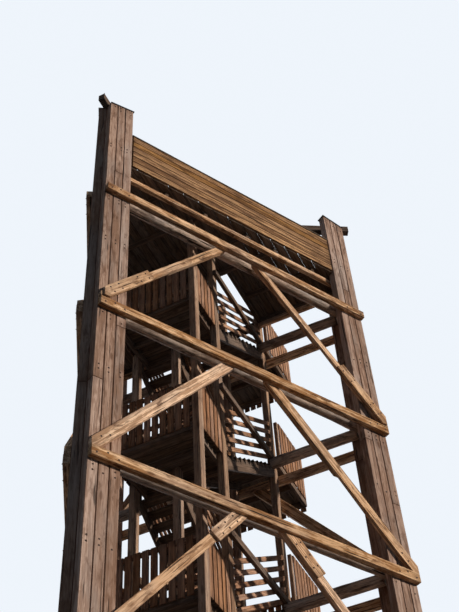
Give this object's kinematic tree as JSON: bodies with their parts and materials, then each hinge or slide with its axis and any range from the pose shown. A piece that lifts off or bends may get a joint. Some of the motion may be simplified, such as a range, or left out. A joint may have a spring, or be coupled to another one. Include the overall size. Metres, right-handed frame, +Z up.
{
  "type": "observation tower",
  "caption": "Open timber observation tower on a three-sided plan, with built-up corner wings, diagonal braces, turning stair flights inside and a boarded viewing platform.",
  "frame": {"origin": "on the ground under the middle of the tower's outline", "axes": "+Z up, +Y from the nose corner to the landing face, +X across the two flights"},
  "size_m": [7.3435, 7.844, 23.985],
  "materials": {
    "beam_timber": "weathered",
    "board_wood": "weathered",
    "brace_timber": "weathered",
    "cap_timber": "weathered",
    "deck_wood": "weathered",
    "log_wood": "weathered",
    "post_timber": "weathered",
    "rail_wood": "weathered",
    "splice_timber": "weathered",
    "steel": "galvanised",
    "wing_timber": "weathered"
  },
  "bodies": {
    "root": {"cross_bearers": "beam_timber", "far_end_panels": "board_wood", "far_floors": "deck_wood", "far_side_panels": "board_wood", "front_brace_splices": "splice_timber", "front_braces": "brace_timber", "front_left_wing": "wing_timber", "front_logs": "log_wood", "front_parapet": "board_wood", "front_right_wing": "wing_timber", "front_walers": "brace_timber", "guard_posts": "post_timber", "landing_braces": "brace_timber", "landing_left_wing": "wing_timber", "landing_logs": "log_wood", "landing_parapet": "board_wood", "landing_right_wing": "wing_timber", "landing_walers": "brace_timber", "lightning_rod": "steel", "long_beams": "beam_timber", "middle_posts": "post_timber", "near_end_panels": "board_wood", "near_floors": "deck_wood", "near_posts": "post_timber", "near_side_bearers": "beam_timber", "near_side_panels": "board_wood", "newel_posts": "post_timber", "parapet_caps": "cap_timber", "platform_joists": "beam_timber", "platform_ledgers": "beam_timber", "platform_planks": "deck_wood", "platform_trimmers": "beam_timber", "side_braces": "brace_timber", "side_left_wing": "wing_timber", "side_logs": "log_wood", "side_parapet": "board_wood", "side_right_wing": "wing_timber", "side_walers": "brace_timber", "stair_rails": "rail_wood", "stairwell_rails": "rail_wood", "stringers": "beam_timber", "tie_hub": "steel", "top_beams": "beam_timber", "treads": "deck_wood", "wall_posts": "post_timber"}
  },
  "joints": []
}
